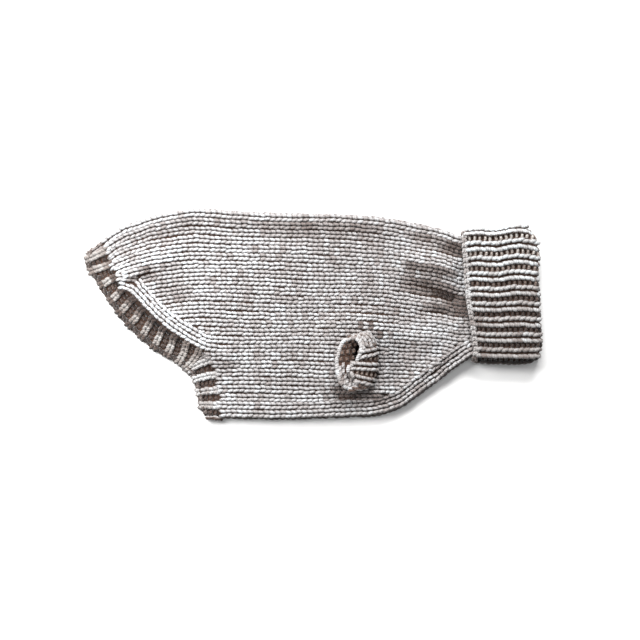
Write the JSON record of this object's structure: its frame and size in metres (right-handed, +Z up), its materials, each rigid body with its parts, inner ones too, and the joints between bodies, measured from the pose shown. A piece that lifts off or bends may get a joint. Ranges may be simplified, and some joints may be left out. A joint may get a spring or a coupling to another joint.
{
  "type": "dog sweater",
  "caption": "Knitted dog sweater laid flat: tube body, folded rib collar, rib hem bands and two short rib foreleg cuffs.",
  "frame": {"origin": "on the table, under the middle of the flat sweater's bounding box", "axes": "+X towards the neck, +Y towards the dog's back, +Z up from the table"},
  "size_m": [0.3666, 0.1688, 0.0238],
  "materials": {
    "wool": "matt wool yarn, light cool grey",
    "wool_rib": "matt wool yarn in rib, light warm grey"
  },
  "bodies": {
    "root": {"body": "wool", "collar": "wool_rib", "tail_hem": "wool_rib", "belly_band": "wool_rib", "cuff_right": "wool_rib", "cuff_left": "wool_rib"}
  },
  "joints": []
}
